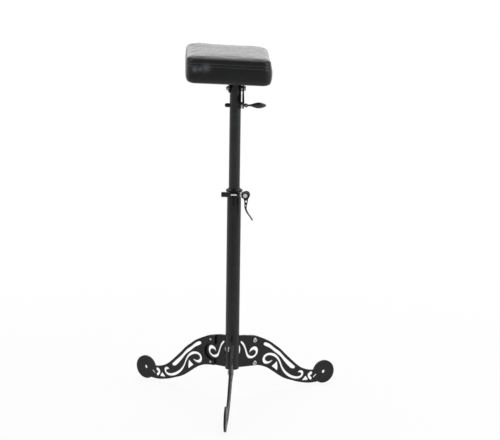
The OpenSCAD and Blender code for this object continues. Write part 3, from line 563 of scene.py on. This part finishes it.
def stitches():
    """Short raised threads in two rows round the cushion, sunk into the cover's grooves."""
    cover = BVHTree.FromObject(cushion, bpy.context.evaluated_depsgraph_get())
    mesh = bmesh.new()
    # rays run from a path round the cushion, 10 mm away, towards the core within it
    away, core, rays = 10, 60, 6
    for row in SEAM_ROWS:
        path = outline(PAD_W + 2 * away, PAD_D + 2 * away, CORNER + away, 0.5)
        hits = []
        for p, q in zip(path, path[1:] + path[:1]):
            for k in range(rays):
                at = p.lerp(q, k / rays)
                start = Vector((at.x, at.y, row)) * MM
                inner = Vector((max(-core, min(core, at.x)), max(-core, min(core, at.y)), row)) * MM
                hit = cover.ray_cast(start, (inner - start).normalized())
                if hit[0]:
                    hits.append((hit[0], hit[1]))
        run = [0.0]
        for (a, _), (b, _) in zip(hits, hits[1:]):
            run.append(run[-1] + (b - a).length)
        pitch = run[-1] / round(run[-1] / (PITCH * MM))
        number = 0
        for i in range(1, len(hits) - 1):
            if run[i] >= number * pitch:
                number += 1
                along = (hits[i + 1][0] - hits[i - 1][0]).normalized()
                out = hits[i][1]
                turn = Matrix((along, out.cross(along), out)).transposed().to_4x4()
                size = Matrix.Diagonal((*(half * MM for half in STITCH), 1))
                where = Matrix.Translation(hits[i][0] + out * STANDS_OUT * MM)
                bmesh.ops.create_icosphere(mesh, subdivisions=1, radius=1, matrix=where @ turn @ size)
    return mesh


threads = as_piece(stitches(), "seam_stitches", seam_thread, pad_frame)
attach(threads, "head")


# ---------------------------------------------------------------- studio

ROOM_LEVEL = 0.45
# name, place, width and height in metres, and power in watts
SOFTBOXES = (
    ("left_softbox", (-2.3, -1.8, 2.1), 2.0, 1.6, 14),
    ("right_softbox", (2.4, -0.9, 1.5), 1.6, 1.6, 24),
    ("top_softbox", (0.0, 0.9, 2.8), 2.2, 2.2, 34),
    ("rear_softbox", (-0.2, 3.0, 1.6), 2.6, 1.3, 12),
)
SOFTBOX_AIM = Vector((0, 0, 0.5))
# where the photograph was taken from, as fitted to the legs and tubes: aim, pitch and roll in degrees
CAMERA_PLACE, CAMERA_TURNS, CAMERA_LENS = (0.2601, -3.670, 1.2189), (-3.448, -11.889, 0.855), 112.4


def studio():
    """A white floor that keeps a soft shadow, a white room that is darker behind the camera,
    and four soft lamps."""
    paper = Finish("studio_paper")
    x, y, z = paper.axes()
    far = ((x * x + y * y).power(0.5) / 1000).ramp(0.5, 1.5)
    shown = paper.seen_by("Is Camera Ray") + paper.seen_by("Is Glossy Ray") * (y / 1000).ramp(-1.9, 0.2)
    paper.set({"Base Color": (0.86, 0.86, 0.86, 1), "Roughness": 0.9})
    white = paper.node("ShaderNodeEmission", None, {"Color": (1, 1, 1, 1), "Strength": 1.0})
    sockets = {0: shown * (far * 0.1 + 0.9), 1: paper.shader.outputs[0], 2: white.outputs[0]}
    mixed = paper.node("ShaderNodeMixShader", None, sockets)
    paper.fill(paper.tree.nodes["Material Output"].inputs["Surface"], mixed.outputs[0])
    floor_mesh = bmesh.new()
    bmesh.ops.create_grid(floor_mesh, x_segments=8, y_segments=8, size=9)
    as_piece(floor_mesh, "studio_floor", paper)

    world = bpy.data.worlds.new("studio_room")
    bpy.context.scene.world = world
    world.use_nodes = True
    room = Nodes(world.node_tree)
    towards = room.node("ShaderNodeSeparateXYZ", None,
                        {"Vector": room.node("ShaderNodeTexCoord").outputs["Generated"]})
    back = Wire(room, towards.outputs["Y"]).ramp(-0.85, -0.05)
    shades = [room.node("ShaderNodeBackground", None, {"Color": (1, 1, 1, 1), "Strength": strength})
              for strength in (ROOM_LEVEL, 1.0)]
    share = room.seen_by("Is Camera Ray") + room.seen_by("Is Glossy Ray") * back
    sockets = {0: share, 1: shades[0].outputs[0], 2: shades[1].outputs[0]}
    mixed = room.node("ShaderNodeMixShader", None, sockets)
    room.fill(world.node_tree.nodes["World Output"].inputs["Surface"], mixed.outputs[0])

    for name, place, width, height, power in SOFTBOXES:
        data = bpy.data.lights.new(name, "AREA")
        data.shape = "RECTANGLE"
        data.size, data.size_y = width, height
        data.energy = power
        lamp = bpy.data.objects.new(name, data)
        bpy.context.scene.collection.objects.link(lamp)
        lamp.location = place
        lamp.rotation_euler = (SOFTBOX_AIM - Vector(place)).to_track_quat("-Z", "Y").to_euler()


def set_camera():
    """The camera where the photograph was taken from."""
    aim, pitch, roll = (math.radians(a) for a in CAMERA_TURNS)
    forward = Vector((math.sin(aim) * math.cos(pitch), math.cos(aim) * math.cos(pitch), math.sin(pitch)))
    level = Vector((math.cos(aim), -math.sin(aim), 0))
    up = level.cross(forward)
    right = level * math.cos(roll) + up * math.sin(roll)
    up = up * math.cos(roll) - level * math.sin(roll)
    turn = Matrix((right, up, -forward)).transposed().to_4x4()
    data = bpy.data.cameras.new("photo_camera")
    data.lens = CAMERA_LENS
    data.sensor_width = 36
    data.sensor_fit = "HORIZONTAL"
    data.clip_end = 50
    camera = bpy.data.objects.new("photo_camera", data)
    bpy.context.scene.collection.objects.link(camera)
    camera.matrix_world = Matrix.Translation(CAMERA_PLACE) @ turn
    bpy.context.scene.camera = camera


studio()
set_camera()
bpy.context.scene.view_settings.view_transform = "Standard"
